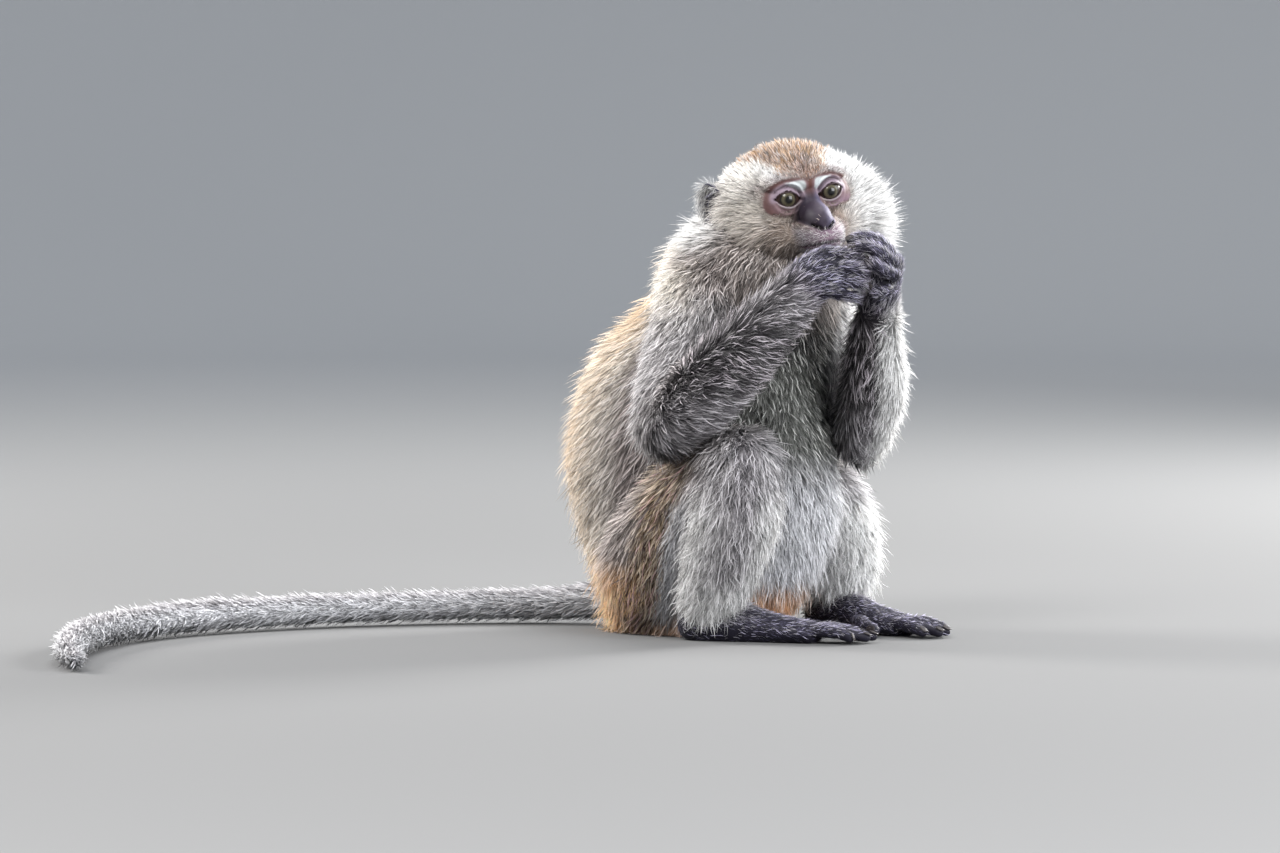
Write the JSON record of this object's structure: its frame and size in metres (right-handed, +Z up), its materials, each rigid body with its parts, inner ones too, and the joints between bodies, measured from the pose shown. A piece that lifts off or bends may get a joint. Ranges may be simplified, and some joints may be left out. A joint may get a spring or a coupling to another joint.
{
  "type": "monkey model",
  "caption": "Life-size still model of a seated long-tailed macaque that eats from both hands, knees drawn up, its tail laid along the floor.",
  "frame": {"origin": "middle of the flat on which the rump rests, at floor level", "axes": "+Z up from the floor; -Y is the side that the face looks towards; the trunk faces between -Y and +X, and the tail runs away to -X"},
  "size_m": [0.5761, 0.3886, 0.3299],
  "materials": {
    "back_fur": "matt, golden beige hair",
    "grey_fur": "matt, grey grizzled hair",
    "belly_fur": "matt, silvery hair",
    "head_fur": "matt, cream and golden brown hair",
    "dark_skin": "satin, near black skin",
    "eye": "gloss, olive brown",
    "tail_fur": "matt, silvery grey hair"
  },
  "bodies": {
    "root": {"abdomen": "belly_fur", "chest": "grey_fur", "ear_left": "dark_skin", "ear_right": "dark_skin", "eye_left": "eye", "eye_right": "eye", "foot_left": "dark_skin", "foot_right": "dark_skin", "forearm_left": "grey_fur", "forearm_right": "grey_fur", "hand_left": "dark_skin", "hand_right": "dark_skin", "head": "head_fur", "neck": "back_fur", "shank_left": "grey_fur", "shank_right": "grey_fur", "tail_base": "tail_fur", "tail_far": "tail_fur", "tail_middle": "tail_fur", "tail_tip": "tail_fur", "thigh_left": "back_fur", "thigh_right": "back_fur", "upper_arm_left": "back_fur", "upper_arm_right": "back_fur"}
  },
  "joints": []
}
